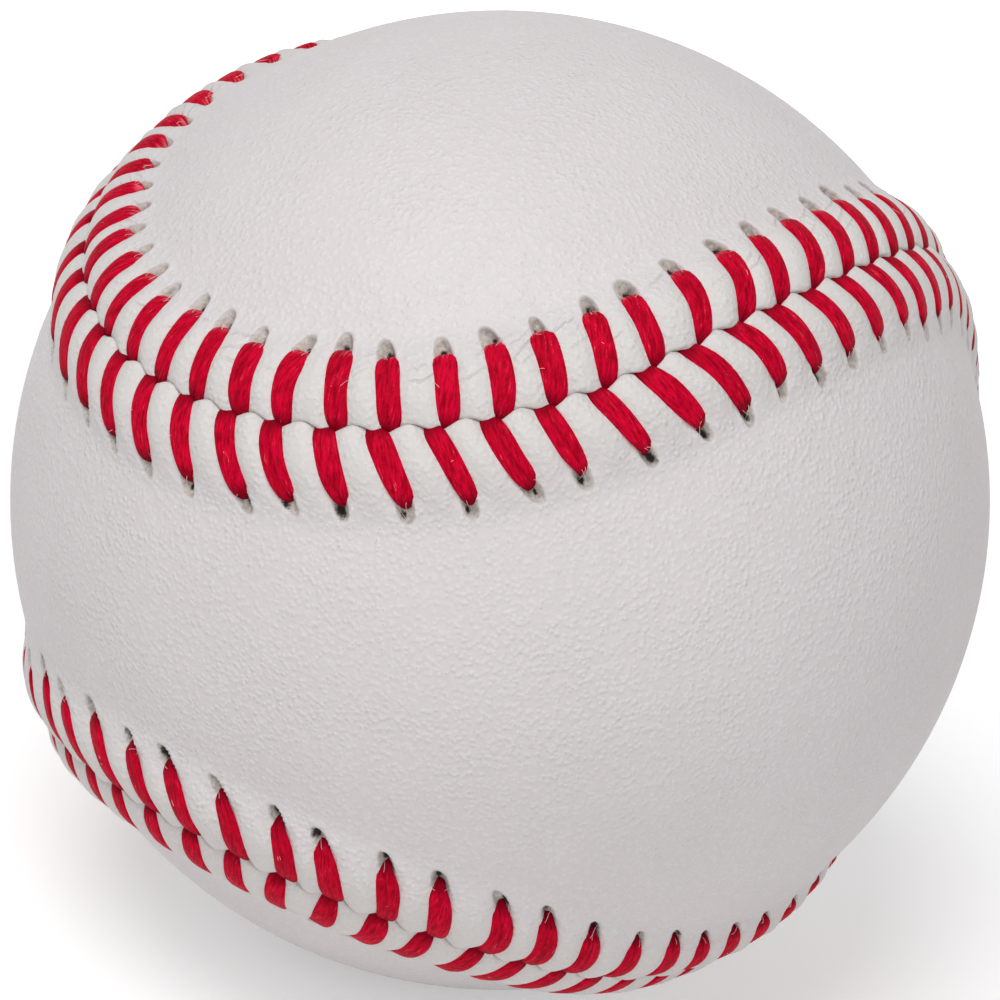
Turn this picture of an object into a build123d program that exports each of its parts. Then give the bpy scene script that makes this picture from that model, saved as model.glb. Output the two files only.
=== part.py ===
from build123d import *
import os
from math import acos, asin, atan2, ceil, cos, degrees, floor, hypot, pi, radians, sin, sqrt

# A stitched leather ball. Lengths are millimetres and angles are degrees.
# The origin is the ball's centre. The ball has half-turn symmetry about X, and
# one cover panel has its two lobes on top and underneath, along Z.

# Moulded centre, from the middle outward
cork_diameter = 20.6
core_shell_wall = 3.9
core_washer_thickness = 1.6
core_jacket_wall = 2.4

# Yarn windings and the coat of cement over them
first_winding_wall = 14.3
second_winding_wall = 1.8
third_winding_wall = 2.3
finishing_winding_wall = 0.5
adhesive_wall = 0.1
layer_clearance = 0.02

# Leather cover
leather_thickness = 1.2
seam_waist_angle = 24.7      # from the middle of a panel's waist to the seam
seam_lean_angle = 6.9        # lean of the seam where one bend turns into the next
seam_gap = 0.15              # between the two panels' edges
welt_height = 0.85           # rise of the leather along the seam
welt_crest_width = 3.2       # from the seam to where the welt starts to fall
welt_reach = 6.8             # from the seam to where the welt has died away
edge_round = 0.7             # rounding of a panel's edge at the seam

# Stitching
thread_diameter = 0.9
stitches_per_half = 54       # along half of the seam, on each panel
hole_offset = 4.7            # from the seam to the stitch holes
stitch_phase = 0.59          # of a pitch, from the first bend's middle to a stitch
stitch_lean = 0.5            # how far the holes lag behind their stitch's middle
stitch_spread = 1.5          # between the two threads that dive into the seam
hole_clearance = 0.1         # around the thread in its hole
notch_clearance = 0.22       # around the thread where it dives into the seam
run_clearance = 0.05         # between the thread and what it runs along
over_bend_radius = 0.8       # of the thread where it turns on the outside
under_bend_radius = 0.6      # of the thread where it turns underneath
dive_height = 0.2            # where one stitch's thread is taken over by the next
channel_slope = 1.0          # width over which the thread's channel closes

# Radii of the layers, each clear of the one inside it
cork_radius = cork_diameter / 2
core_shell_inner = cork_radius + layer_clearance
core_shell_outer = core_shell_inner + core_shell_wall
core_jacket_inner = core_shell_outer + layer_clearance
core_jacket_outer = core_jacket_inner + core_jacket_wall
first_winding_inner = core_jacket_outer + layer_clearance
first_winding_outer = first_winding_inner + first_winding_wall
second_winding_inner = first_winding_outer + layer_clearance
second_winding_outer = second_winding_inner + second_winding_wall
third_winding_inner = second_winding_outer + layer_clearance
third_winding_outer = third_winding_inner + third_winding_wall
finishing_winding_inner = third_winding_outer + layer_clearance
finishing_winding_outer = finishing_winding_inner + finishing_winding_wall
adhesive_inner = finishing_winding_outer + layer_clearance
adhesive_outer = adhesive_inner + adhesive_wall
leather_inner = adhesive_outer + layer_clearance
ball_radius = leather_inner + leather_thickness

centre = Vector(0, 0, 0)
thread_radius = thread_diameter / 2
hole_radius = thread_radius + hole_clearance
notch_radius = thread_radius + notch_clearance


def from_seam_axes(a, b, c):
    """Turn a direction from the seam's own axes to the ball's."""
    return Vector(-c, -b, -a)


def turned(vector, axis, angle):
    """Turn a vector about an axis through the centre, by an angle in radians."""
    along = axis * axis.dot(vector)
    return along + (vector - along) * cos(angle) + axis.cross(vector) * sin(angle)


def seam_segments():
    """List the seam's bends and straight runs as (axis, start, sweep), in order.

    Each bend is part of a small circle and each run part of a great circle, so
    every piece of the seam is a turn about an axis through the centre.
    """
    waist = radians(seam_waist_angle)
    lean = radians(seam_lean_angle)
    diagonal = sqrt(0.5)
    tilt = atan2(cos(waist) - diagonal * cos(lean), sin(waist) + sin(lean))
    bend_axis = Vector(cos(tilt), 0, sin(tilt))
    run_axis = Vector(diagonal * cos(lean), -diagonal * cos(lean), sin(lean))
    apex = Vector(sin(waist), 0, cos(waist))
    crossing = Vector(diagonal, diagonal, 0)
    joint = (bend_axis - run_axis * bend_axis.dot(run_axis)).normalized()
    half_run = acos(joint.dot(crossing))
    apex_arm = (apex - bend_axis * apex.dot(bend_axis)).normalized()
    joint_arm = (joint - bend_axis * joint.dot(bend_axis)).normalized()
    half_bend = acos(apex_arm.dot(joint_arm))
    run_turn = joint.cross(crossing).normalized()
    segments = []
    for quarter in range(4):
        flip = -1 if quarter % 2 else 1
        for axis, start, sweep in (
            (bend_axis * -1, turned(apex, bend_axis, half_bend), 2 * half_bend),
            (run_turn, joint, 2 * half_run),
        ):
            placed = []
            for vector in (axis, start):
                spun = turned(vector, Vector(0, 0, 1), quarter * pi / 2)
                placed.append(from_seam_axes(spun.X, spun.Y, spun.Z * flip))
            segments.append((placed[0] * flip, placed[1], sweep))
    return segments


segments = seam_segments()


def segment_length(axis, start, sweep):
    """Length of a piece of the seam at the ball's surface."""
    return ball_radius * sweep * axis.cross(start).length


seam_length = sum(segment_length(*segment) for segment in segments)
stitch_count = 2 * stitches_per_half
stitch_pitch = seam_length / stitch_count
first_half_bend = segment_length(*segments[0]) / 2


def seam_point(distance):
    """Direction from the centre, and heading, at a distance along the seam."""
    left = (distance + first_half_bend) % seam_length
    for axis, start, sweep in segments:
        length = segment_length(axis, start, sweep)
        if left <= length:
            break
        left -= length
    point = turned(start, axis, sweep * left / length)
    return point, axis.cross(point).normalized()


def place(distance, lateral, height):
    """Point beside the seam: along it, to its right, and above the leather."""
    point, heading = seam_point(distance)
    angle = lateral / ball_radius
    outward = point * cos(angle) + heading.cross(point) * sin(angle)
    return outward * (ball_radius + height)


def section_point(lateral, height):
    """Point in the seam's cross-section, with the ball's centre as the origin."""
    angle = lateral / ball_radius
    radius = ball_radius + height
    return (radius * sin(angle), radius * cos(angle))


def upright(offset, height):
    """Place in the cross-section, at a height, on a wall square to the seam's middle."""
    radius = ball_radius + height
    return (ball_radius * asin(ball_radius * sin(offset / ball_radius) / radius), height)


def section_arc(start, end):
    """Edge at one height, from one (lateral, height) to another."""
    middle = ((start[0] + end[0]) / 2, start[1])
    return ThreePointArc(section_point(*start), section_point(*middle), section_point(*end))


def section_line(start, end):
    """Straight edge from one (lateral, height) to another."""
    return Line(section_point(*start), section_point(*end))


def revolved_section(face, side, segment):
    """Carry a cross-section along one piece of the seam, on one side of it."""
    axis, start, sweep = segment
    heading = axis.cross(start).normalized()
    if side < 0:
        face = mirror(face, about=Plane.YZ)
    plane = Plane(origin=centre, x_dir=heading.cross(start), z_dir=heading * -1)
    return revolve(plane * face, axis=Axis(centre, axis), revolution_arc=degrees(sweep))


# Heights of the thread and its channel, measured from the leather's surface
under_run = hypot(hole_offset, stitch_pitch + stitch_spread / 2)
under_dip = leather_inner - sqrt(leather_inner ** 2 - (under_run / 2) ** 2)
over_dip = ball_radius - sqrt(ball_radius ** 2 - (hole_offset / 2) ** 2)
under_height = run_clearance + under_dip + thread_radius - leather_thickness
over_height = welt_height + run_clearance + over_dip + thread_radius
channel_roof = under_height + thread_radius + run_clearance
channel_reach = hole_offset + hole_radius + run_clearance


def welt_section():
    """Cross-section of one panel's raised edge, from the seam to plain leather."""
    edge = seam_gap / 2
    edge_foot = upright(edge, channel_roof)
    edge_top = upright(edge, welt_height - edge_round)
    wall_foot = upright(welt_reach, -leather_thickness)
    round_end = edge + edge_round
    fall_middle = (welt_crest_width + welt_reach) / 2
    round_turn = edge_round * (1 - sqrt(0.5))
    fall_quarter = (welt_reach - welt_crest_width) / 4
    channel_end = (channel_reach + channel_slope, -leather_thickness)
    with BuildSketch() as section:
        with BuildLine():
            section_line(edge_foot, edge_top)
            ThreePointArc(
                section_point(*edge_top),
                section_point(edge + round_turn, welt_height - round_turn),
                section_point(round_end, welt_height),
            )
            section_arc((round_end, welt_height), (welt_crest_width, welt_height))
            ThreePointArc(
                section_point(welt_crest_width, welt_height),
                section_point(welt_crest_width + fall_quarter, welt_height * 7 / 8),
                section_point(fall_middle, welt_height / 2),
            )
            ThreePointArc(
                section_point(fall_middle, welt_height / 2),
                section_point(welt_reach - fall_quarter, welt_height / 8),
                section_point(welt_reach, 0),
            )
            section_line((welt_reach, 0), wall_foot)
            section_arc(wall_foot, channel_end)
            section_line(channel_end, (channel_reach, channel_roof))
            section_arc((channel_reach, channel_roof), edge_foot)
        make_face()
    return section.sketch


def band_section():
    """Cross-section of the whole strip that the two raised edges take up."""
    above = upright(welt_reach, welt_height)
    below = upright(welt_reach, -2 * leather_thickness)
    above_left = (-above[0], above[1])
    below_left = (-below[0], below[1])
    with BuildSketch() as section:
        with BuildLine():
            section_line(below_left, above_left)
            section_arc(above_left, above)
            section_line(above, below)
            section_arc(below, below_left)
        make_face()
    return section.sketch


def stitch_middle(index):
    """Distance along the seam of a stitch's middle."""
    return (index + stitch_phase) * stitch_pitch


def dive_distance(side, index):
    """Distance along the seam where a panel's thread dives between the panels."""
    return stitch_middle(index) - side * stitch_spread / 2


def hole_distance(index):
    """Distance along the seam of a stitch's two holes."""
    return stitch_middle(index) - stitch_lean


def stitches_near(start, end):
    """Numbers of the stitches that touch a stretch of the seam."""
    first = ceil((start - stitch_spread) / stitch_pitch - stitch_phase)
    last = floor((end + stitch_spread) / stitch_pitch - stitch_phase)
    return range(first, last + 1)


def radial_plane(distance, lateral):
    """Plane across the leather's surface, with X along the seam."""
    foot = place(distance, lateral, 0)
    return Plane(origin=foot, x_dir=seam_point(distance)[1], z_dir=foot)


def stitch_hole(side, index):
    """Cutter for the hole of one stitch in one panel."""
    reach = welt_height + leather_thickness
    plane = radial_plane(hole_distance(index), side * hole_offset)
    return plane * Cylinder(hole_radius, 2 * reach)


def stitch_notch(index):
    """Cutter for the slot where one stitch's two threads dive into the seam."""
    reach = welt_height + leather_thickness
    slot = SlotCenterToCenter(stitch_spread, 2 * notch_radius)
    return extrude(radial_plane(stitch_middle(index), 0) * slot, amount=reach, both=True)


def stitch(side, index):
    """Thread of one stitch: under its panel, up through its hole and back over."""
    before = dive_distance(-side, index - 1)
    hole = hole_distance(index)
    after = dive_distance(side, index)
    lateral = side * hole_offset
    path = FilletPolyline(
        place(before, 0, dive_height),
        place(before, 0, under_height),
        place(hole, lateral, under_height),
        place(hole, lateral, over_height),
        place(after, 0, over_height),
        place(after, 0, dive_height),
        radius=[under_bend_radius, under_bend_radius, over_bend_radius, over_bend_radius],
    )
    section = Plane(origin=path @ 0, z_dir=path % 0) * Circle(thread_radius)
    return sweep(section, path=path)


def shell(inner, outer):
    """Closed round layer between two radii."""
    return Sphere(outer) - Sphere(inner)


def core_shell(up):
    """One of the two rubber half shells around the cork, above or below the washer."""
    half = Pos(0, 0, up * core_washer_thickness / 2) * Box(
        2 * core_shell_outer,
        2 * core_shell_outer,
        core_shell_outer,
        align=(Align.CENTER, Align.CENTER, Align.MIN if up > 0 else Align.MAX),
    )
    return shell(core_shell_inner, core_shell_outer) & half


def core_washer():
    """Ring that seals the joint between the two half shells."""
    return shell(core_shell_inner, core_shell_outer) & Box(
        2 * core_shell_outer, 2 * core_shell_outer, core_washer_thickness
    )


def sewn_strip(side, segment, start):
    """One panel's raised edge along a piece of the seam, with its holes and notches."""
    strip = revolved_section(welt_section(), side, segment)
    near = stitches_near(start, start + segment_length(*segment))
    holes = [stitch_hole(side, index) for index in near]
    notches = [stitch_notch(index) for index in near]
    return strip - (holes + notches)


def sewn_edge(side):
    """One panel's whole raised edge: half of the seam's pieces, and the same turned over."""
    half = []
    start = -first_half_bend
    for segment in segments[: len(segments) // 2]:
        half.append(sewn_strip(side, segment, start))
        start += segment_length(*segment)
    return half + [Rot(X=180) * strip for strip in half]


def cover_panels():
    """The two leather panels, the one with the top lobe first."""
    band = band_section()
    bands = [revolved_section(band, 1, segment) for segment in segments]
    middles = (shell(leather_inner, ball_radius) - bands).solids()
    middles = sorted(middles, key=lambda solid: -solid.bounding_box().max.Z)
    return [middle.fuse(*sewn_edge(side)) for middle, side in zip(middles, (1, -1))]


def seam_thread(start):
    """One of the two threads, which sews the two panels by turns."""
    half = [stitch(1 if (index + start) % 2 else -1, index) for index in range(stitches_per_half)]
    return half + [Rot(X=180) * loop for loop in half]


def save(name, *solids):
    """Write one sub-part."""
    shape = solids[0] if len(solids) == 1 else Compound(children=list(solids))
    shape.label = name
    export_step(shape, f"parts/{name}.step")


os.makedirs("parts", exist_ok=True)
panel_a, panel_b = cover_panels()
save("cork_core", Sphere(cork_radius))
save("core_shell_upper", core_shell(1))
save("core_shell_lower", core_shell(-1))
save("core_washer", core_washer())
save("core_jacket", shell(core_jacket_inner, core_jacket_outer))
save("first_winding", shell(first_winding_inner, first_winding_outer))
save("second_winding", shell(second_winding_inner, second_winding_outer))
save("third_winding", shell(third_winding_inner, third_winding_outer))
save("finishing_winding", shell(finishing_winding_inner, finishing_winding_outer))
save("adhesive_coat", shell(adhesive_inner, adhesive_outer))
save("cover_panel_a", panel_a)
save("cover_panel_b", panel_b)
save("seam_thread_a", *seam_thread(1))
save("seam_thread_b", *seam_thread(0))
print(f"ball diameter {2 * ball_radius:.2f}, seam {seam_length:.1f}, pitch {stitch_pitch:.3f}")
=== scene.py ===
"""Dresses a stitched leather ball: grained cover, sewn seam, wound centre and a plain studio."""
import math

import bmesh
import bpy
import numpy as np
from mathutils import Matrix, Vector, kdtree


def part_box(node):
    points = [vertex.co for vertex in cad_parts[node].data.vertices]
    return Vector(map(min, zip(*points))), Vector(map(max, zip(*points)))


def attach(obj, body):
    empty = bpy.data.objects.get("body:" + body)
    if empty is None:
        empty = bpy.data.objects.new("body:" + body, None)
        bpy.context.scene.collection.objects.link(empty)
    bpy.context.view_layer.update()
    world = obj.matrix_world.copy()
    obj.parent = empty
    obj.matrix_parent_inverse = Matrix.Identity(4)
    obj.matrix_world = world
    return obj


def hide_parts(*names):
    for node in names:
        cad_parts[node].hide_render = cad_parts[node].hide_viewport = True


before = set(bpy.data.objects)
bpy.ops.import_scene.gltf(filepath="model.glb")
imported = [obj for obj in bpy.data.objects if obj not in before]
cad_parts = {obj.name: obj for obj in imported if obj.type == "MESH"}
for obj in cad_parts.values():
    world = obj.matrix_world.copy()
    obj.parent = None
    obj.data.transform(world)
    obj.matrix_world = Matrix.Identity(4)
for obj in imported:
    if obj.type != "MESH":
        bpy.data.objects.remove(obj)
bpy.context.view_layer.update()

bl_info = {
    "name": "Stitched Leather Ball",
    "version": (1, 0, 0),
    "blender": (4, 5, 0),
    "location": "View3D > Sidebar > Ball",
    "description": "Models the leather cover and its sewn seam, and finishes the wound centre",
    "category": "Object",
}

MM = 0.001
BALL_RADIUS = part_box("cover_panel_a")[1][2]
LEATHER_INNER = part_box("adhesive_coat")[1][2]
SIDES = {"cover_panel_a": 1, "cover_panel_b": -1}

# How the sewing differs on the two panels, by side
SEED_STEP = {1: 0, -1: 100}
THREAD_WIDTH = {1: 1.03, -1: 0.95}
TIP_LEAN = {1: 0.4 * MM, -1: 1.0 * MM}
SLIT_SIZE = {1: 1.0, -1: 0.70}
HOLE_SHIFT = {1: -0.20 * MM, -1: 0.0}
HOLE_OUT = {1: 0.32 * MM, -1: 0.50 * MM}
HOLE_LENGTH = {1: 1.25, -1: 2.0}
HOLE_SIZES = {1: (0.6, 1.15), -1: (0.45, 1.05)}

# What the awl leaves in the leather outside each thread
SLIT_MIDDLE = 0.42 * MM
SLIT_SQUARENESS = 2.7
SLIT_NARROWING = 0.16
HOLE_RADIUS = 0.36 * MM
HOLE_DEPTH = 0.25 * MM
LIP_RISE = 0.07 * MM
FARTHEST_MARK = 3.0

# A thread's rings from its hole to the seam: the part of the way, and the millimetres past it
LEG_RINGS = np.array([(1.0, 0.05), (1.0, -0.05), (1.0, -0.40), (0.70, 0.0), (0.48, 0.0),
                      (0.28, 0.0), (0.12, 0.0), (0.0, 0.0), (0.0, -0.35)])
SQUARE_WIDTHS = np.array([0.78, 0.90, 1.0, 1.02, 1.0, 0.97, 0.86, 0.70, 0.55])
TAPERED_WIDTHS = np.array([0.46, 0.54, 0.78, 0.98, 1.05, 1.06, 1.02, 0.92, 0.75])
LEG_SIDES = 10
FIBRES = 2
FIBRE_RINGS = 4
FIBRE_SIDES = 3

# Marks that the meshes carry: the first are for modelling only, the others for the finishes
STRIP_MARKS = ("seam_along", "seam_across", "wall_down", "inner_loop", "outer_loop")
STRAND_MARKS = ("strand_around", "strand_along", "strand_part", "strand_tone", "strand_loose",
                "strand_second")
FAR_FROM_SEAM = 1.0

# The fine folds beside the seam: where each starts, how it slopes and its width, in millimetres
FOLDS = ((4.9, 1.9, 0.10), (5.6, 1.3, 0.08), (3.6, 1.2, 0.07))

# Darker and paler colours that the finishes blend in. The colours for the grain's hollows, the slits'
# rims, the holes, the cleft, the gap between strands, the thread's dive and its tip are painted shade;
# the lint colour is pale lint and partly painted highlight.
HOLLOW_SHADE_COLOUR = (0.50, 0.46, 0.43)
RIM_SHADE_COLOUR = (0.24, 0.20, 0.17)
HOLE_SHADE_COLOUR = (0.010, 0.006, 0.005)
CLEFT_SHADE_COLOUR = (0.42, 0.37, 0.34)
STRAND_GAP_SHADE_COLOUR = (0.15, 0.0, 0.006)
DULL_THREAD_COLOUR = (0.45, 0.001, 0.016)
DIVE_SHADE_COLOUR = (0.14, 0.0, 0.006)
TIP_SHADE_COLOUR = (0.10, 0.0, 0.005)
LINT_AND_HIGHLIGHT_COLOUR = (0.90, 0.30, 0.34)
LOOSE_FIBRE_COLOUR = (0.92, 0.72, 0.70)

# Lamps as name, place, width and power, the sky's strength as a light, and the floor's glow
# under the ball and half width
LAMPS = (("key", (-0.41, -0.13, 0.89), 0.6, 5.4), ("fill", (-0.61, -0.97, 0.47), 0.8, 2.3))
SKY_LIGHT = 0.34
FLOOR_GLOW = 0.35
FLOOR_SIZE = 1.5


# Sizes and colours that a user would change


def length_property(name, description, default):
    """Property of a length."""
    return bpy.props.FloatProperty(name=name, description=description, default=default, unit="LENGTH")


def drift_property(name, description, *waves):
    """Property of a slow drift: the cosine and sine of one wave round the seam, then of two."""
    return bpy.props.FloatVectorProperty(
        name=name, description=description, default=waves, size=4, unit="LENGTH")


def angle_property(name, description, degrees):
    """Property of an angle."""
    return bpy.props.FloatProperty(
        name=name, description=description, default=math.radians(degrees), subtype="ANGLE")


def colour_property(name, description, *parts):
    """Property of a colour."""
    return bpy.props.FloatVectorProperty(
        name=name, description=description, default=parts, subtype="COLOR", size=3, min=0.0, max=1.0)


class SeamSizes(bpy.types.PropertyGroup):
    """Where the seam runs and how its stitches are set."""

    waist_angle: angle_property("Waist Angle", "From the middle of a panel's waist to the seam", 24.7)
    lean_angle: angle_property("Lean Angle", "Lean of the seam where one bend turns into the next", 6.9)
    stitches: bpy.props.IntProperty(
        name="Stitches", description="Stitches along each panel's edge", default=108, min=8)
    phase: bpy.props.FloatProperty(
        name="Phase", description="From the first bend's middle to a stitch, in pitches", default=0.60)
    hole_offset: length_property("Hole Offset", "From the seam to the stitch holes", 5.0 * MM)
    lean_first: length_property(
        "First Lean", "How far the first panel's holes lag behind their stitch", 1.1 * MM)
    lean_swing: length_property(
        "Lean Swing", "How much more the first panel's holes lag on the runs", 1.2 * MM)
    lean_second: length_property(
        "Second Lean", "How far the second panel's holes lag behind their stitch", 1.4 * MM)
    bow_swing: length_property(
        "Bow Swing", "How much the threads curve to and fro along the seam", 0.32 * MM)
    spread: length_property(
        "Stitch Spread", "Between the two threads that dive into the seam", 1.25 * MM)
    unevenness: length_property(
        "Unevenness", "How far a hand-sewn stitch strays from its place", 0.2 * MM)
    seed: bpy.props.IntProperty(name="Seed", description="Picks how the stitches stray", default=7)
    drift_across: drift_property(
        "Drift Across", "Slow sideways drift of the hand-sewn seam: two waves",
        0.18 * MM, 0.45 * MM, 0.05 * MM, 0.18 * MM)
    drift_along: drift_property(
        "Drift Along", "Slow drift of the stitches along the seam: two waves",
        0.06 * MM, 0.54 * MM, -0.23 * MM, -0.16 * MM)
    drift_spread: drift_property(
        "Drift of Spread", "Slow change of the stitch spread: two waves",
        -0.15 * MM, -0.50 * MM, -0.30 * MM, -0.35 * MM)


class LeatherSizes(bpy.types.PropertyGroup):
    """Relief and colours of the leather cover."""

    welt_height: length_property("Welt Height", "Rise of the leather beside the seam", 1.4 * MM)
    welt_crest: length_property("Welt Crest", "From the seam to the top of the welt", 2.1 * MM)
    welt_reach: length_property("Welt Reach", "From the seam to where the welt has died away", 7.4 * MM)
    roll_drop: length_property(
        "Roll Drop", "How far the welt rolls down from its top to the seam", 0.45 * MM)
    edge_round: length_property("Edge Round", "Width of a panel's rounded edge at the seam", 0.45 * MM)
    edge_drop: length_property("Edge Drop", "How far that edge turns down", 0.12 * MM)
    groove_depth: length_property("Groove Depth", "How deep a thread presses into the welt", 0.44 * MM)
    groove_width: length_property("Groove Width", "Half the width of that groove", 0.95 * MM)
    pillow_rise: length_property("Pillow Rise", "Swell of the leather between two threads", 0.15 * MM)
    scallop: length_property("Scallop", "How far the seam's line waves between stitches", 0.27 * MM)
    pit_depth: length_property("Pit Depth", "Depth of the awl slit outside each thread", 0.46 * MM)
    pit_length: length_property("Pit Length", "Half the length of that slit", 0.98 * MM)
    pit_width: length_property("Pit Width", "Half the width of that slit", 0.70 * MM)
    columns: bpy.props.IntProperty(
        name="Columns", description="Faces along the seam for each stitch", default=18, min=6)
    colour: colour_property("Leather", "Colour of the plain leather", 0.755, 0.71, 0.725)
    # The welt colour is warmer than the plain leather and darker, and that darkening is painted shade
    # along the seam.
    welt_shaded_colour: colour_property(
        "Welt", "Colour of the leather stretched along the seam", 0.718, 0.69, 0.672)
    dent_colour: colour_property(
        "Pucker", "Colour of the bruised leather at each hole", 0.585, 0.535, 0.485)


class ThreadSizes(bpy.types.PropertyGroup):
    """Size and colours of the seam thread."""

    half_width: length_property("Half Width", "Half the width of the flattened thread", 0.94 * MM)
    half_height: length_property("Half Height", "Half the height of the flattened thread", 0.35 * MM)
    fibre_radius: length_property("Fibre Radius", "Half the thickness of a loose fibre", 0.042 * MM)
    colour: colour_property("Thread", "Colour of the waxed thread", 0.745, 0.002, 0.036)
    # The fold colour is painted shade where the fibres lie low, and a darker random tone where the
    # wobble is low.
    fold_colour: colour_property("Fold", "Colour between the thread's strands", 0.26, 0.0005, 0.008)


class StudioSettings(bpy.types.PropertyGroup):
    """Camera and floor of the plain studio."""

    azimuth: angle_property("Azimuth", "Camera's turn about the ball", -47.55)
    elevation: angle_property("Elevation", "Camera's height above the horizon", 22.85)
    roll: angle_property("Roll", "Camera's turn about its own axis", 7.74)
    distance: bpy.props.FloatProperty(
        name="Distance", description="Camera to the ball's centre, in ball radii", default=7.781)
    fill: bpy.props.FloatProperty(
        name="Fill", description="Width of the ball's outline as a part of the image", default=0.98)
    floor_colour: colour_property("Floor", "Colour of the floor", 0.9, 0.9, 0.9)


# The seam's geometry


def turned(vectors, axis, angles):
    """Turn vectors about an axis through the centre, each by its own angle."""
    vectors = np.atleast_2d(vectors)
    angles = np.atleast_1d(angles)[:, None]
    along = (vectors @ axis)[:, None] * axis
    return along + (vectors - along) * np.cos(angles) + np.cross(axis, vectors) * np.sin(angles)


def unit(vectors):
    """Vectors of length one, in the same directions."""
    return vectors / np.linalg.norm(vectors, axis=-1, keepdims=True)


def smooth_step(values, low, high):
    """Smooth rise from 0 at low to 1 at high."""
    part = np.clip((values - low) / (high - low), 0, 1)
    return part * part * (3 - 2 * part)


class Seam:
    """The closed line along which the two panels meet: four bends joined by four runs."""

    def __init__(self, sizes):
        waist = sizes.waist_angle
        lean = sizes.lean_angle
        diagonal = math.sqrt(0.5)
        tilt = math.atan2(math.cos(waist) - diagonal * math.cos(lean),
                          math.sin(waist) + math.sin(lean))
        bend_axis = np.array([math.cos(tilt), 0.0, math.sin(tilt)])
        run_axis = np.array([diagonal * math.cos(lean), -diagonal * math.cos(lean), math.sin(lean)])
        apex = np.array([math.sin(waist), 0.0, math.cos(waist)])
        crossing = np.array([diagonal, diagonal, 0.0])
        joint = unit(bend_axis - run_axis * (bend_axis @ run_axis))
        half_run = math.acos(joint @ crossing)
        apex_arm = unit(apex - bend_axis * (apex @ bend_axis))
        joint_arm = unit(joint - bend_axis * (joint @ bend_axis))
        half_bend = math.acos(apex_arm @ joint_arm)
        bend_start = turned(apex, bend_axis, half_bend)[0]
        pieces = (
            (-bend_axis, bend_start, 2 * half_bend),
            (unit(np.cross(joint, crossing)), joint, 2 * half_run),
        )
        spin = np.array([0.0, 0.0, 1.0])
        self.segments = []
        for quarter in range(4):
            flip = -1 if quarter % 2 else 1
            for axis, start, sweep in pieces:
                spun = turned(np.stack([axis, start]), spin, np.full(2, quarter * math.pi / 2))
                placed = np.stack([-spun[:, 2] * flip, -spun[:, 1], -spun[:, 0]], axis=1)
                self.segments.append((placed[0] * flip, placed[1], sweep))
        lengths = [BALL_RADIUS * sweep * np.linalg.norm(np.cross(axis, start))
                   for axis, start, sweep in self.segments]
        self.lengths = np.array(lengths)
        self.ends = np.cumsum(self.lengths)
        self.length = self.ends[-1]
        self.pitch = self.length / sizes.stitches
        self.drifts = np.array([sizes.drift_across, sizes.drift_along])

    def waves(self, distances):
        """One wave and two waves round the whole seam, each as a cosine and a sine."""
        turn = 2 * math.pi * np.asarray(distances, float) / self.length
        return np.stack([np.cos(turn), np.sin(turn), np.cos(2 * turn), np.sin(2 * turn)])

    def drift(self, distances):
        """Slow drift of the sewn line from the drawn one: sideways, and along it."""
        return self.drifts @ self.waves(distances)

    def points(self, distances):
        """Directions from the centre, and headings, at distances along the seam."""
        left = np.mod(np.asarray(distances, float) + self.lengths[0] / 2, self.length)
        which = np.minimum(np.searchsorted(self.ends, left, side="right"), len(self.ends) - 1)
        points = np.zeros((len(left), 3))
        headings = np.zeros((len(left), 3))
        for number, (axis, start, sweep) in enumerate(self.segments):
            here = which == number
            part = (left[here] - (self.ends[number] - self.lengths[number])) / self.lengths[number]
            if not len(part):
                continue
            points[here] = turned(np.repeat(start[None], len(part), 0), axis, sweep * part)
            headings[here] = unit(np.cross(axis, points[here]))
        return points, headings

    def place(self, distances, laterals, heights):
        """Points beside the seam: along it, to its right, and above the leather."""
        aside, ahead = self.drift(distances)
        points, headings = self.points(distances + ahead)
        rights = np.cross(headings, points)
        angles = ((laterals + aside) / BALL_RADIUS)[:, None]
        outward = points * np.cos(angles) + rights * np.sin(angles)
        return outward * (BALL_RADIUS + np.asarray(heights))[:, None]

    def laterals(self, vectors, samples=2400):
        """How far to the right of the seam each direction lies, along the leather."""
        distances = np.linspace(0, self.length, samples, endpoint=False)
        points, headings = self.points(distances)
        aside = self.drift(distances)[0]
        rights = np.cross(headings, points)
        tree = kdtree.KDTree(samples)
        for number, point in enumerate(points):
            tree.insert(point, number)
        tree.balance()
        near = np.array([tree.find(vector)[1] for vector in vectors])
        across = np.einsum("ij,ij->i", vectors, rights[near])
        ahead = np.einsum("ij,ij->i", vectors, points[near])
        return BALL_RADIUS * np.arctan2(across, ahead) - aside[near]


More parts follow.
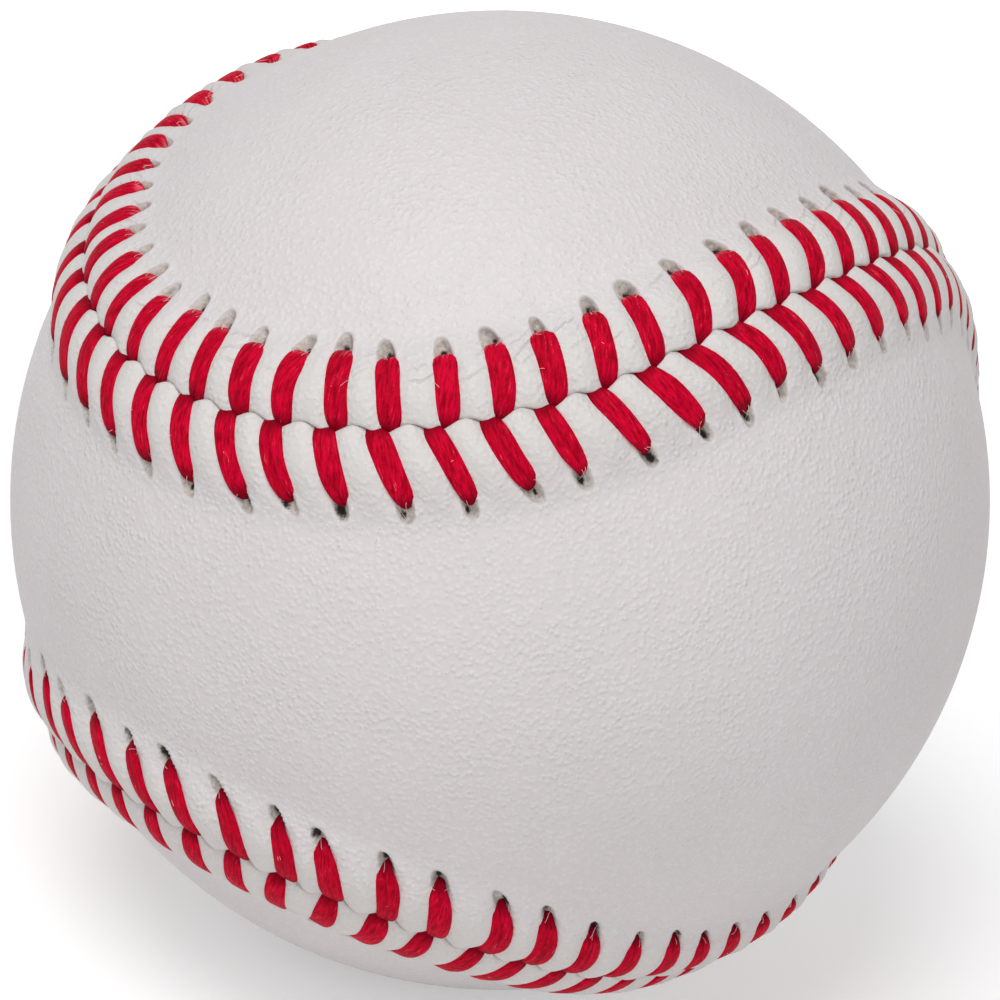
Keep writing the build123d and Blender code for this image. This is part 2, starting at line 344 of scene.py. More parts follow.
class Stitching:
    """Where each thread leaves its hole and dives into the seam, a little unevenly."""

    def __init__(self, seam, sizes, side):
        rng = np.random.default_rng(sizes.seed + SEED_STEP[side])
        count = sizes.stitches
        stray = sizes.unevenness
        middles = (np.arange(count) + sizes.phase) * seam.pitch
        self.count = count
        self.side = side
        self.pitch = seam.pitch
        self.phase = sizes.phase
        turn = 2 * math.pi * 4 * middles / seam.length
        swing = sizes.lean_first - sizes.lean_swing * np.cos(turn)
        lag = swing if side > 0 else sizes.lean_second
        self.hole_along = middles - lag + rng.normal(0, stray, count)
        self.hole_across = sizes.hole_offset + rng.normal(0, stray, count)
        spread = sizes.spread + np.array(sizes.drift_spread) @ seam.waves(middles)
        spread = np.maximum(spread, 0.3 * sizes.spread)
        self.dive_along = middles - side * spread / 2 + rng.normal(0, 0.6 * stray, count)
        curve = -sizes.bow_swing * np.cos(turn / 2 - 4 * math.pi / 3)
        self.bow = curve + rng.normal(-0.05 * MM, 0.7 * stray, count)
        self.width = THREAD_WIDTH[side] + rng.normal(0, 0.05, count)
        self.rise = 1 + rng.normal(0, 0.15, count)
        self.tone = rng.uniform(0, 1, count)
        self.slit = SLIT_SIZE[side] * (1 + rng.normal(0, 0.10, count))
        self.hole_shift = rng.normal(HOLE_SHIFT[side], 0.18 * MM, count)
        self.hole_out = HOLE_OUT[side] + rng.normal(0, 0.06 * MM, count)
        self.hole_size = rng.uniform(*HOLE_SIZES[side], count)
        self.ripple = rng.normal(0, 0.05, (count, len(LEG_RINGS)))
        self.fibre_start = rng.uniform(-0.45, 0.45, (count, FIBRES))
        self.fibre_turn = rng.normal(0, 0.75, (count, FIBRES))
        self.fibre_length = rng.uniform(0.6, 1.5, (count, FIBRES)) * MM
        self.fibre_curl = rng.normal(0, 0.35, (count, FIBRES)) * MM
        self.fibre_from = np.where(rng.uniform(0, 1, (count, FIBRES)) < 0.7, 0.93, 0.45)
        self.taper = np.zeros(count) if side > 0 else rng.uniform(0.3, 1.0, count)

    def leg_along(self, number, laterals):
        """Place along the seam of a thread's middle, at a distance from the seam."""
        part = np.clip(laterals / self.hole_across[number], 0, 1.5)
        lean = (self.hole_along[number] - self.dive_along[number]) * part
        sag = 4 * self.bow[number] * part * np.clip(1 - part, -0.35, 1)
        return self.dive_along[number] + lean + sag

    def nearest(self, distances, laterals):
        """Number of the nearest thread, and the offset from it along the seam."""
        guess = np.round(distances / self.pitch - self.phase).astype(int)
        length = self.pitch * self.count
        best = None
        for step in (-1, 0, 1):
            number = np.mod(guess + step, self.count)
            turn = np.round((distances - self.hole_along[number]) / length)
            offset = distances - turn * length - self.leg_along(number, np.clip(laterals, 0, None))
            if best is None:
                best, chosen = offset, number
                continue
            closer = np.abs(offset) < np.abs(best)
            best = np.where(closer, offset, best)
            chosen = np.where(closer, number, chosen)
        return chosen, best


class Relief:
    """Height of one panel's leather beside the seam, and the marks the sewing leaves in it."""

    def __init__(self, seam, stitching, sizes):
        self.seam = seam
        self.stitching = stitching
        self.sizes = sizes

    def welt(self, laterals):
        """Plain rise of the leather beside the seam, and the edge that rolls down into it."""
        sizes = self.sizes
        fall = np.clip((laterals - sizes.welt_crest) / (sizes.welt_reach - sizes.welt_crest), 0, 1)
        rise = sizes.welt_height * 0.5 * (1 + np.cos(math.pi * fall))
        roll = np.clip(1 - laterals / sizes.welt_crest, 0, 1)
        turn = np.clip(1 - laterals / sizes.edge_round, 0, 1)
        edge = sizes.edge_drop * (1 - np.sqrt(np.clip(1 - turn ** 2.4, 0, 1)))
        return rise - sizes.roll_drop * roll ** 2 - edge

    def marks(self, distances, laterals):
        """Nearest thread and offset from it, its groove, and distances from slit and hole."""
        sizes = self.sizes
        stitching = self.stitching
        number, offset = stitching.nearest(distances, laterals)
        beyond = laterals - stitching.hole_across[number]
        groove = np.exp(-(offset / sizes.groove_width) ** 2)
        groove = groove * (1 - smooth_step(beyond, -0.5 * MM, 0.7 * MM))
        slit = stitching.slit[number]
        ahead = (beyond - SLIT_MIDDLE) / (sizes.pit_length * np.sqrt(slit))
        width = sizes.pit_width * slit * np.clip(1.0 - SLIT_NARROWING * ahead, 0.4, 1.3)
        pit = np.abs(ahead) ** SLIT_SQUARENESS + np.abs(offset / width) ** SLIT_SQUARENESS
        pit = pit ** (1 / SLIT_SQUARENESS)
        size = HOLE_RADIUS * stitching.hole_size[number]
        out = (beyond - stitching.hole_out[number]) / (HOLE_LENGTH[stitching.side] * size)
        hole = np.hypot(out, (offset - stitching.hole_shift[number]) / size)
        return number, offset, groove, np.minimum(pit, FARTHEST_MARK), np.minimum(hole, FARTHEST_MARK)

    def lean(self, offset):
        """From 1 at a slit's deep flank to 0 at its shallow one; the second panel's are even."""
        slope = offset / self.sizes.pit_width if self.stitching.side > 0 else 0 * offset
        return np.clip(0.5 - 0.5 * slope, 0, 1)

    def height(self, distances, laterals):
        """Rise of the leather above the ball's plain surface."""
        sizes = self.sizes
        number, offset, groove, pit, hole = self.marks(distances, laterals)
        inside = 1 - smooth_step(laterals, 4.2 * MM, 6.6 * MM)
        swell = np.sin(np.clip(np.abs(offset) / self.seam.pitch, 0, 0.5) * math.pi) ** 2
        lift = sizes.pillow_rise * swell * inside * self.stitching.rise[number]
        sunk = sizes.pit_depth * (0.5 + self.lean(offset)) * (1 - smooth_step(pit, 0.45, 1.05))
        lip = LIP_RISE * np.exp(-((pit - 1.25) / 0.22) ** 2)
        deep = HOLE_DEPTH * (1 - smooth_step(hole, 0.2, 1.4))
        return self.welt(laterals) + lift + lip - sizes.groove_depth * groove - sunk - deep

    def wave(self, distances):
        """Sideways wave of the seam's line, towards the first panel between stitches."""
        turn = 2 * math.pi * (distances / self.seam.pitch - self.stitching.phase)
        return -self.sizes.scallop * np.cos(turn)


# Material helpers


def plug(tree, value, socket):
    """Link a value to a socket, or set the socket to a number or a colour."""
    if isinstance(value, Value):
        tree.links.new(value.socket, socket)
    elif isinstance(value, tuple):
        socket.default_value = (*value, 1.0)
    elif value is not None:
        socket.default_value = value


def add_node(tree, kind, output, inputs, **settings):
    """Output of a new shader node with its settings and inputs."""
    node = tree.nodes.new("ShaderNode" + kind)
    for name, setting in settings.items():
        setattr(node, name, setting)
    for label, value in inputs.items():
        plug(tree, value, node.inputs[label])
    return Value(tree, node.outputs[output])


class Value:
    """A shader node's output that can be reckoned with like a number."""

    def __init__(self, tree, socket):
        self.tree = tree
        self.socket = socket

    def reckon(self, operation, first, second=None, clamp=False):
        """Result of a Math node."""
        inputs = {0: first, 1: second}
        return add_node(self.tree, "Math", 0, inputs, operation=operation, use_clamp=clamp)

    def __add__(self, other):
        return self.reckon("ADD", self, other)

    def __sub__(self, other):
        return self.reckon("SUBTRACT", self, other)

    def __rsub__(self, other):
        return self.reckon("SUBTRACT", other, self)

    def __mul__(self, other):
        return self.reckon("MULTIPLY", self, other)

    def __abs__(self):
        return self.reckon("ABSOLUTE", self)

    def sine(self):
        """Sine of an angle in radians."""
        return self.reckon("SINE", self)

    def most(self, other):
        """The larger of two values."""
        return self.reckon("MAXIMUM", self, other)

    def topped_up(self, other):
        """Sum that stays between 0 and 1."""
        return self.reckon("ADD", self, other, clamp=True)

    def vector(self, operation, other=None, output="Vector"):
        """Result of a Vector Math node with a fixed second vector."""
        inputs = {0: self, 1: other and Vector(other)}
        return add_node(self.tree, "VectorMath", output, inputs, operation=operation)

    def rise(self, low, high):
        """Smooth rise from 0 at low to 1 at high."""
        inputs = {"Value": self, "From Min": low, "From Max": high}
        return add_node(self.tree, "MapRange", "Result", inputs, interpolation_type="SMOOTHSTEP")

    def fall(self, low, high):
        """Smooth fall from 1 at low to 0 at high."""
        return 1.0 - self.rise(low, high)

    def blend(self, first, second):
        """Colour that goes from the first to the second as this value rises from 0 to 1."""
        return add_node(self.tree, "Mix", 2, {0: self, 6: first, 7: second}, data_type="RGBA")

    def noise(self, scale, detail=3.0, roughness=0.55):
        """Cloudy pattern over this place."""
        inputs = {"Vector": self, "Scale": scale, "Detail": detail, "Roughness": roughness}
        return add_node(self.tree, "TexNoise", "Fac", inputs)

    def cells(self, scale, smoothness=None):
        """Distance from the middles of scattered cells over this place."""
        inputs = {"Vector": self, "Scale": scale}
        if smoothness is None:
            return add_node(self.tree, "TexVoronoi", "Distance", inputs)
        inputs["Smoothness"] = smoothness
        return add_node(self.tree, "TexVoronoi", "Distance", inputs, feature="SMOOTH_F1")


class Finish:
    """A new material whose patterns lie in the piece's own coordinates."""

    def __init__(self, name):
        self.material = bpy.data.materials.new(name)
        self.material.use_nodes = True
        self.tree = self.material.node_tree
        self.shader = self.tree.nodes["Principled BSDF"]
        self.place = add_node(self.tree, "TexCoord", "Object", {})

    def mark(self, name):
        """A mark that the piece's mesh carries."""
        return add_node(self.tree, "Attribute", "Fac", {}, attribute_name=name)

    def set(self, label, value):
        """Set or link one of the shader's sockets."""
        plug(self.tree, value, self.shader.inputs[label])

    def relief(self, height, distance, strength):
        """Let a height raise and lower the surface."""
        inputs = {"Height": height, "Distance": distance, "Strength": strength}
        self.set("Normal", add_node(self.tree, "Bump", "Normal", inputs))


# Finishes


def pebble_grain(place):
    """Fine pebbled grain of tawed leather: a height, and a mask of its hollows where shade is painted.
    """
    pebbles = place.cells(2500.0, smoothness=0.6).fall(0.05, 0.65) * 0.55 + place.noise(1900.0)
    strong = place.noise(210.0).rise(0.25, 0.75) * 0.6 + 0.6
    return pebbles * strong, pebbles.fall(0.55, 0.95)


def leather_pores(place):
    """Mask of the sparse, tiny pores in the leather."""
    return place.cells(2500.0).fall(0.08, 0.24) * place.noise(260.0, 2.0).rise(0.38, 0.60)


def seam_folds(finish):
    """Mask of the fine folds that run from one thread's flank to the next thread's hole."""
    between = finish.mark("between")
    wandering = finish.mark("across") + finish.place.noise(500.0) * 1.1 - 0.55
    lines = []
    for reach, slope, width in FOLDS:
        gap = abs(wandering - (reach - between * slope))
        lines.append(gap.fall(0.0, 2.0 * width))
    patchy = finish.place.noise(330.0, 2.0).rise(0.45, 0.62)
    ends = between.rise(0.08, 0.25) * between.fall(0.75, 0.92)
    return lines[0].most(lines[1]).most(lines[2]) * patchy * ends


def scaled(colour, factor):
    """A settings colour made lighter or darker, as a plain tuple."""
    return tuple(factor * part for part in colour)


def leather_finish(settings):
    """Off-white leather: pebbled, warmer along the welt and darkened there with painted shade, bruised
    at each hole, with painted shade in its hollows, at the slits' rims, in the holes and in the cleft.
    """
    finish = Finish("white_leather")
    place = finish.place
    height, hollow = pebble_grain(place)
    fold = seam_folds(finish)
    patches = place.noise(60.0, 4.0)
    plain = patches.rise(0.35, 0.7).blend(tuple(settings.colour), scaled(settings.colour, 0.975))
    # Along the welt the leather turns warmer and darker; the darkening is painted shade.
    stretched = finish.mark("welt").blend(plain, tuple(settings.welt_shaded_colour))
    # Painted shade in the grain's hollows, along the fold lines and in the pores.
    hollow_shade = hollow * 0.16 + fold * 0.16 + leather_pores(place) * 0.55
    grained = hollow_shade.blend(stretched, HOLLOW_SHADE_COLOUR)
    ragged = finish.mark("pit") + place.noise(1500.0, 2.0) * 0.18
    # Random streaky tone inside each slit, and its deep flank darkened as painted shade.
    streaks_and_flank_shade = place.noise(1900.0, 4.0, 0.7) - finish.mark("lean") * 0.3
    inside = streaks_and_flank_shade.rise(0.15, 0.55).blend(
        scaled(settings.dent_colour, 0.52), scaled(settings.dent_colour, 1.1))
    bruised = (ragged.fall(0.90, 1.12) * 0.92).blend(grained, inside)
    # A dark ring along each slit's edge: painted shade under its rim.
    rim = ragged.rise(0.85, 1.08) * ragged.fall(1.08, 1.25)
    rim_shaded = (rim * 0.28).blend(bruised, RIM_SHADE_COLOUR)
    # The holes are painted near black: painted shade inside them. The same mask makes them rougher.
    torn = finish.mark("hole") + place.noise(2600.0, 2.0) * 0.9
    dark = torn.fall(0.95, 1.55)
    hole_shaded = (dark * 0.97).blend(rim_shaded, HOLE_SHADE_COLOUR)
    # The seam's cleft and the panels' walls are darkened: painted shade.
    finish.set("Base Color", (finish.mark("cleft") * 0.22).blend(hole_shaded, CLEFT_SHADE_COLOUR))
    finish.set("Roughness", (patches * 0.14 + 0.48).topped_up(dark * 0.5))
    finish.set("Specular IOR Level", 0.45)
    finish.relief(height - fold * 0.8, 0.14 * MM, 0.7)
    return finish.material


def thread_fibres(around, along, tone):
    """Fine fibres drawn out along a thread and twisted a little round it."""
    inputs = {"X": around * 26.0 + along * 900.0, "Y": along * 700.0, "Z": tone * 40.0}
    return add_node(around.tree, "CombineXYZ", "Vector", inputs).noise(1.3, 5.0, 0.7)


def thread_finish(settings):
    """Waxed crimson thread: twisted strands with painted shade between them, painted shade where it
    dives and at some tips, and pale lint that is partly painted highlight.
    """
    finish = Finish("waxed_red_thread")
    place = finish.place
    around, along, part, tone, loose, second = (finish.mark(name) for name in STRAND_MARKS)
    wobble = place.noise(1500.0, 4.0)
    turns = around * 14.0 + along * 500.0 + wobble * 2.5
    strands = (turns * (2 * math.pi)).sine().rise(-1.0, 0.7)
    fibres = thread_fibres(around, along, tone)
    # Darker where the fibres lie low and paler on their crests, which is painted shade and painted
    # highlight over the fibres' bump; the wobble adds a random tone.
    shade = (fibres.rise(0.37, 0.60) * 0.80).topped_up(wobble.rise(0.3, 0.7) * 0.35)
    body = shade.blend(tuple(settings.fold_colour), tuple(settings.colour))
    # A dark line along the groove on the thread's top: painted shade between its two strands.
    split = abs(around - 0.5).fall(0.0, 0.035) * tone.rise(0.45, 0.6) * wobble.rise(0.35, 0.6)
    split_shaded = (split * 0.75).blend(body, STRAND_GAP_SHADE_COLOUR)
    varied = (tone * 0.30).blend(split_shaded, DULL_THREAD_COLOUR)
    # Darker where each leg dives into the seam: painted shade.
    dive = (part + wobble * 0.05).rise(0.76, 0.92)
    dive_shaded = (dive * 0.75).blend(varied, DIVE_SHADE_COLOUR)
    # Darker at the hole end of the second panel's legs: painted shade.
    tip_shaded = (part.fall(0.12, 0.26) * (second * 0.7)).blend(dive_shaded, TIP_SHADE_COLOUR)
    # Pale specks on the fibres' crests, partly lint and partly painted highlight, and real fraying at
    # the hole end of the first panel's legs.
    hairs_and_highlights = fibres.rise(0.60, 0.74) * place.noise(700.0, 2.0).rise(0.42, 0.60)
    frayed = part.fall(0.14, 0.21) * (1.0 - second) * fibres.rise(0.46, 0.60)
    lint_and_highlights = (hairs_and_highlights * 0.55).topped_up(frayed * 0.5).blend(tip_shaded, LINT_AND_HIGHLIGHT_COLOUR)
    finish.set("Base Color", (loose * 0.9).blend(lint_and_highlights, LOOSE_FIBRE_COLOUR))
    finish.set("Roughness", fibres * 0.25 + 0.40)
    finish.set("Specular IOR Level", 0.03)
    finish.relief(strands * 0.3 + fibres, 0.12 * MM, 0.5)
    return finish.material


def wound_yarn():
    """Node group of yarn laid round a ball in three directions: a height, and a shade that is painted
    shade where the yarn lies low.
    """
    name = "wound_yarn"
    if name in bpy.data.node_groups:
        return bpy.data.node_groups[name]
    tree = bpy.data.node_groups.new(name, "ShaderNodeTree")
    tree.interface.new_socket("Vector", in_out="INPUT", socket_type="NodeSocketVector")
    tree.interface.new_socket("Strands", in_out="INPUT", socket_type="NodeSocketFloat")
    tree.interface.new_socket("Height", in_out="OUTPUT", socket_type="NodeSocketFloat")
    tree.interface.new_socket("Shade", in_out="OUTPUT", socket_type="NodeSocketFloat")
    source = tree.nodes.new("NodeGroupInput")
    result = tree.nodes.new("NodeGroupOutput")
    place = Value(tree, source.outputs["Vector"])
    strands = Value(tree, source.outputs["Strands"])
    layers = []
    for number, lay in enumerate(((0.3, 0.2, 0.93), (0.9, -0.3, 0.3), (-0.2, 0.95, 0.25))):
        ridge = abs((place.vector("DOT_PRODUCT", lay, "Value") * strands).sine())
        moved = place.vector("ADD", (number * 1.7, number * 0.9, number * 0.4))
        over = moved.noise(70.0, 1.0, 0.5).rise(0.42, 0.50)
        layers.append((ridge + 0.4) * over)
    height = layers[0].most(layers[1]).most(layers[2])
    plug(tree, height + place.noise(3000.0) * 0.3, result.inputs["Height"])
    plug(tree, height.rise(0.1, 1.2), result.inputs["Shade"])
    return tree


def yarn_finish(name, strands, light, dark):
    """Wool or cotton yarn wound round the ball."""
    finish = Finish(name)
    yarn = finish.tree.nodes.new("ShaderNodeGroup")
    yarn.node_tree = wound_yarn()
    yarn.inputs["Strands"].default_value = strands
    plug(finish.tree, finish.place, yarn.inputs["Vector"])
    shade = Value(finish.tree, yarn.outputs["Shade"])
    # The dark colour is painted shade where the yarn lies low between strands.
    finish.set("Base Color", shade.blend(dark, light))
    finish.set("Roughness", shade * 0.1 + 0.8)
    finish.set("Sheen Weight", 0.3)
    finish.relief(Value(finish.tree, yarn.outputs["Height"]), 0.4 * MM, 0.7)
    return finish.material


def rubber_finish(name, colour, worn):
    """Moulded rubber with a faint bloom."""
    finish = Finish(name)
    bloom = finish.place.noise(180.0, 5.0)
    finish.set("Base Color", bloom.rise(0.45, 0.75).blend(colour, worn))
    finish.set("Roughness", bloom * 0.3 + 0.4)
    finish.relief(finish.place.noise(1500.0, 2.0), 0.05 * MM, 0.4)
    return finish.material


def cork_finish():
    """Ground cork pressed with rubber."""
    finish = Finish("cork_composition")
    grains = finish.place.cells(750.0).rise(0.1, 0.7)
    body = grains.blend((0.50, 0.33, 0.18), (0.28, 0.17, 0.09))
    fleck = finish.place.noise(900.0, 4.0, 0.7).rise(0.6, 0.7)
    finish.set("Base Color", fleck.blend(body, (0.10, 0.06, 0.035)))
    finish.set("Roughness", grains * 0.1 + 0.78)
    finish.relief(grains, 0.2 * MM, 0.5)
    return finish.material


def paint_node(name, material):
    """Give a packed sub-part its finish."""
    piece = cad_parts[name]
    piece.data.materials.clear()
    piece.data.materials.append(material)


# Mesh helpers


def freed_mesh(bm, name):
    """Mesh of a bmesh that is no longer needed."""
    mesh = bpy.data.meshes.new(name)
    bm.to_mesh(mesh)
    bm.free()
    return mesh


def smooth_mesh(bm, name):
    """Mesh of a finished piece, with its faces outward and shaded smooth."""
    bm.normal_update()
    bmesh.ops.recalc_face_normals(bm, faces=bm.faces)
    for face in bm.faces:
        face.smooth = True
    return freed_mesh(bm, name)


def put_mark(mesh, name, values):
    """Store a mark on a mesh's points, for a finish to read."""
    layer = mesh.attributes.new(name, "FLOAT", "POINT")
    layer.data.foreach_set("value", np.asarray(values, dtype=np.float32))


def link_piece(mesh, name):
    """New object of a mesh, in the scene."""
    piece = bpy.data.objects.new(name, mesh)
    bpy.context.scene.collection.objects.link(piece)
    return piece


# Leather panels


def strip_rows(sizes):
    """Rows across a panel's edge, as (distance from the seam, part of the way down its wall)."""
    wall = [(0.0, part) for part in (1.0, 0.66, 0.33)]
    turn = [(sizes.edge_round * part, 0.0) for part in np.linspace(0, 1, 7) ** 1.3]
    flank = [(lateral, 0.0) for lateral in np.linspace(sizes.edge_round + 0.3 * MM, 4.0 * MM, 10)]
    holes = [(lateral, 0.0) for lateral in np.linspace(4.2 * MM, 6.9 * MM, 15)]
    return wall + turn + flank + holes + [(sizes.welt_reach, 0.0)]


def sew_strip(bm, layers, seam, relief, side):
    """Add a panel's sewn edge to a bmesh: its wall, its rounded edge and its stitched welt."""
    sizes = relief.sizes
    rows = strip_rows(sizes)
    last = len(rows) - 1
    columns = sizes.columns * relief.stitching.count
    bmesh.ops.create_grid(bm, x_segments=columns, y_segments=last, size=0.5)
    verts = list(bm.verts)
    column = np.array([round((vert.co.x + 0.5) * columns) for vert in verts])
    row = np.array([round((vert.co.y + 0.5) * last) for vert in verts])
    laterals = np.array([lateral for lateral, _ in rows])[row]
    down = np.array([part for _, part in rows])[row]
    distances = seam.length * column / columns
    heights = relief.height(distances, laterals)
    heights = heights + down * (LEATHER_INNER - BALL_RADIUS - heights)
    bend = relief.wave(distances) * (1 - smooth_step(laterals, 0.0, 2.2 * MM))
    places = seam.place(distances, side * laterals + bend, heights)
    for vert, place in zip(verts, places):
        vert.co = place
    for name, numbers in zip(STRIP_MARKS, (distances, laterals, down, row == 0, row == last)):
        layer = layers[name]
        for vert, number in zip(verts, numbers):
            vert[layer] = number
    ends = [vert for vert, number in zip(verts, column) if number in (0, columns)]
    bmesh.ops.remove_doubles(bm, verts=ends, dist=1e-7)


def plain_patch(seam, side, radius, margin, subdivisions):
    """Mesh of a panel's plain leather, away from its sewn edge."""
    bm = bmesh.new()
    bmesh.ops.create_icosphere(bm, subdivisions=subdivisions, radius=radius)
    verts = list(bm.verts)
    directions = np.array([vert.co.normalized() for vert in verts])
    laterals = side * seam.laterals(directions)
    outside = [vert for vert, lateral in zip(verts, laterals) if lateral < margin]
    bmesh.ops.delete(bm, geom=outside, context="VERTS")
    return freed_mesh(bm, "plain_patch")


def join_patch(bm, layers, mesh, loop_name):
    """Add a patch to a panel and bridge it to a named loop of its strip."""
    tag = layers[loop_name]
    loop = [edge for edge in bm.edges if edge.is_boundary and all(vert[tag] for vert in edge.verts)]
    for vert in bm.verts:
        vert.tag = True
    bm.from_mesh(mesh)
    for vert in bm.verts:
        if not vert.tag:
            vert[layers["seam_across"]] = FAR_FROM_SEAM
    rim = [edge for edge in bm.edges if edge.is_boundary and not edge.verts[0].tag]
    bmesh.ops.bridge_loops(bm, edges=loop + rim)
    bpy.data.meshes.remove(mesh)


def write_marks(mesh, relief):
    """Store the sewing marks on a panel's points, and drop those that were for modelling only."""
    read = {}
    for name in STRIP_MARKS:
        numbers = np.zeros(len(mesh.vertices), dtype=np.float32)
        mesh.attributes[name].data.foreach_get("value", numbers)
        mesh.attributes.remove(mesh.attributes[name])
        read[name] = numbers.astype(float)
    laterals = read["seam_across"]
    _, offset, _, pit, hole = relief.marks(read["seam_along"], laterals)
    put_mark(mesh, "welt", 1 - smooth_step(laterals, 2.0 * MM, 7.6 * MM))
    put_mark(mesh, "pit", pit)
    put_mark(mesh, "hole", hole)
    # The lean mark also darkens each slit's deep flank in the finish: painted shade.
    put_mark(mesh, "lean", relief.lean(offset))
    put_mark(mesh, "across", np.minimum(laterals / MM, 20.0))
    folded = relief.stitching.side > 0
    put_mark(mesh, "between", np.mod(offset / relief.seam.pitch, 1.0) * folded)
    # This mark covers the seam's cleft and the panels' walls, where the finish paints shade.
    put_mark(mesh, "cleft", np.maximum(1 - smooth_step(laterals, 0.0, 0.2 * MM), read["wall_down"] > 0))


def cover_panel(name, side, seam, relief, material):
    """One figure-eight leather panel, with thickness, sewn edge and plain middle."""
    bm = bmesh.new()
    for mark in STRIP_MARKS:
        bm.verts.layers.float.new(mark)
    layers = {mark: bm.verts.layers.float[mark] for mark in STRIP_MARKS}
    sew_strip(bm, layers, seam, relief, side)
    reach = relief.sizes.welt_reach
    join_patch(bm, layers, plain_patch(seam, side, BALL_RADIUS, reach + 0.7 * MM, 6), "outer_loop")
    join_patch(bm, layers, plain_patch(seam, side, LEATHER_INNER, 1.2 * MM, 5), "inner_loop")
    mesh = smooth_mesh(bm, name)
    write_marks(mesh, relief)
    mesh.materials.append(material)
    return link_piece(mesh, name)


# Seam thread


def thread_template(sides, rings):
    """Capped tube of unit size along Z, and its points."""
    bm = bmesh.new()
    bmesh.ops.create_cone(bm, cap_ends=True, segments=sides, radius1=1.0, radius2=1.0, depth=1.0)
    lengthwise = [edge for edge in bm.edges if abs(edge.verts[0].co.z - edge.verts[1].co.z) > 0.5]
    bmesh.ops.subdivide_edges(bm, edges=lengthwise, cuts=rings - 1, use_grid_fill=True)
    mesh = freed_mesh(bm, "thread_template")
    return mesh, np.array([tuple(vert.co) for vert in mesh.vertices])


def template_rings(shape, rings):
    """Number of the ring that each of a template's points lies on."""
    return np.clip(np.round((shape[:, 2] + 0.5) * rings).astype(int), 0, rings)


def leg_route(seam, relief, thread, side, number):
    """Points along a thread's leg from its hole to the seam, and its width at each."""
    stitching = relief.stitching
    laterals = LEG_RINGS[:, 0] * stitching.hole_across[number] + LEG_RINGS[:, 1] * MM
    taper = stitching.taper[number]
    widths = (1 - taper) * SQUARE_WIDTHS + taper * TAPERED_WIDTHS
    distances = stitching.leg_along(number, np.clip(laterals, 0, None))
    distances[-2:] += side * np.array([0.12, 0.40]) * MM
    distances[:4] -= TIP_LEAN[side] * np.array([0.24, 0.22, 0.14, 0.05])
    heights = relief.height(distances, np.clip(laterals, 0.3 * MM, None)) + 0.62 * thread.half_height
    rim = relief.welt(laterals)
    heights[0] = -0.8 * MM
    heights[1:3] = rim[1:3] - np.array([0.45, 0.18]) * MM
    heights[-2:] = rim[-2] - np.array([0.12, 0.80]) * MM
    centres = seam.place(distances, side * laterals, heights)
    return centres, widths * stitching.width[number] * (1 + stitching.ripple[number])


def thread_leg(seam, relief, thread, side, number, shape):
    """Places of a template's points along one leg, and their strand coordinates."""
    centres, widths = leg_route(seam, relief, thread, side, number)
    rings = len(centres) - 1
    tangents = unit(np.gradient(centres, axis=0))
    aside = unit(np.cross(tangents, unit(centres)))
    above = np.cross(aside, tangents)
    ring = template_rings(shape, rings)
    angle = np.arctan2(shape[:, 1], shape[:, 0])
    core = np.hypot(shape[:, 0], shape[:, 1])
    flat = np.sign(np.cos(angle)) * np.abs(np.cos(angle)) ** 0.75
    tall = np.sign(np.sin(angle)) * np.abs(np.sin(angle)) ** 0.85
    split = 1 - 0.16 * np.exp(-((np.cos(angle)) / 0.28) ** 2) * (np.sin(angle) > 0)
    wide = (thread.half_width * widths[ring] * flat * core)[:, None]
    high = (thread.half_height * (0.4 + 0.6 * widths[ring]) * tall * core * split)[:, None]
    skew = np.array([0.30, 0.30, 0.22, 0.08] + [0.0] * (rings - 3)) * MM
    slant = (side * skew[ring] * np.cos(angle) * core)[:, None]
    places = centres[ring] + wide * aside[ring] + high * above[ring] + slant * tangents[ring]
    run = np.concatenate([[0], np.cumsum(np.linalg.norm(np.diff(centres, axis=0), axis=1))])
    around = np.mod(angle / (2 * math.pi) + 0.25, 1.0)
    return places, around, run[ring], run[ring] / run[-1]


def loose_fibre(seam, relief, thread, side, number, strand, shape):
    """Places of a template's points along a fibre that has worked loose from a leg."""
    stitching = relief.stitching
    step = np.linspace(0, 1, FIBRE_RINGS + 1)
    length = stitching.fibre_length[number, strand]
    turn = stitching.fibre_turn[number, strand]
    first = stitching.fibre_from[number, strand] * stitching.hole_across[number]
    laterals = first + length * step * math.cos(turn)
    start = thread.half_width * stitching.fibre_start[number, strand]
    distances = stitching.leg_along(number, np.full(len(step), first)) + start
    distances = distances + length * step * math.sin(turn)
    distances = distances + stitching.fibre_curl[number, strand] * step ** 2
    bed = np.maximum(relief.height(distances, laterals), relief.welt(laterals) - 0.25 * MM)
    heights = bed + (0.70 - 0.45 * step + 0.25 * np.sin(math.pi * step)) * thread.half_height
    heights[0] = heights[0] - 0.2 * MM
    centres = seam.place(distances, side * laterals, heights)
    outward = unit(centres)
    across = unit(np.cross(np.gradient(centres, axis=0), outward))
    ring = template_rings(shape, FIBRE_RINGS)
    radius = (thread.fibre_radius * (1 - 0.6 * step))[ring][:, None]
    places = centres[ring] + radius * (shape[:, :1] * across[ring] + shape[:, 1:2] * outward[ring])
    return places, 0.4, step[ring] * length, 0.5


def strand_table(places, *marks):
    """One row for each point: its place, then its strand marks."""
    return np.column_stack([places, *(np.broadcast_to(mark, len(places)) for mark in marks)])


